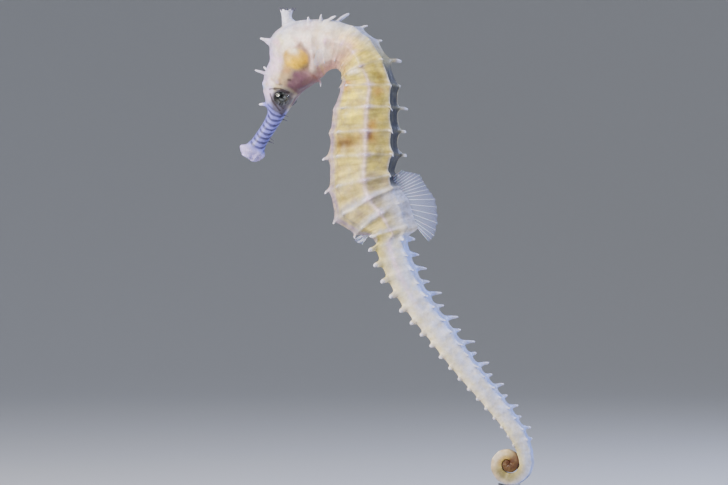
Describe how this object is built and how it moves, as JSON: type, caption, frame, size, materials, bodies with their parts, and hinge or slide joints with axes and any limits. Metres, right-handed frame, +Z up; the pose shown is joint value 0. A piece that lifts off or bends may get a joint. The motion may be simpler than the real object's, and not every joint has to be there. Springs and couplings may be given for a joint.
{
  "type": "seahorse",
  "caption": "Life-size still model of a Barbour's seahorse, an adult female swimming upright with its tail curled forward, on a small wooden display stand.",
  "frame": {"origin": "middle of the display stand's underside", "axes": "+Z up, the animal faces -X, its left side is towards -Y"},
  "size_m": [0.084, 0.052, 0.1241],
  "materials": {
    "head": "moist bony skin, cream and pale lavender",
    "snout": "moist skin, pale blue-grey with dark bands",
    "body": "moist bony plates, golden yellow with cream ridges",
    "tail": "moist bony plates, cream to bluish white",
    "eye": "wet and glossy",
    "fin": "thin clear membrane on whitish rays",
    "stand_wood": "dark stained and oiled",
    "stand_steel": "fine brushed"
  },
  "bodies": {
    "root": {"snout": "snout", "head": "head", "neck": "body", "trunk_upper": "body", "trunk_middle": "body", "trunk_lower": "body", "tail_upper": "tail", "tail_middle": "tail", "tail_lower": "tail", "tail_coil_outer": "tail", "tail_coil_inner": "tail", "coronet": "head", "eye_left": "eye", "eye_right": "eye", "dorsal_fin": "fin", "pectoral_fin_left": "fin", "pectoral_fin_right": "fin", "anal_fin": "fin", "stand_base": "stand_wood", "stand_rod": "stand_steel"}
  },
  "joints": []
}
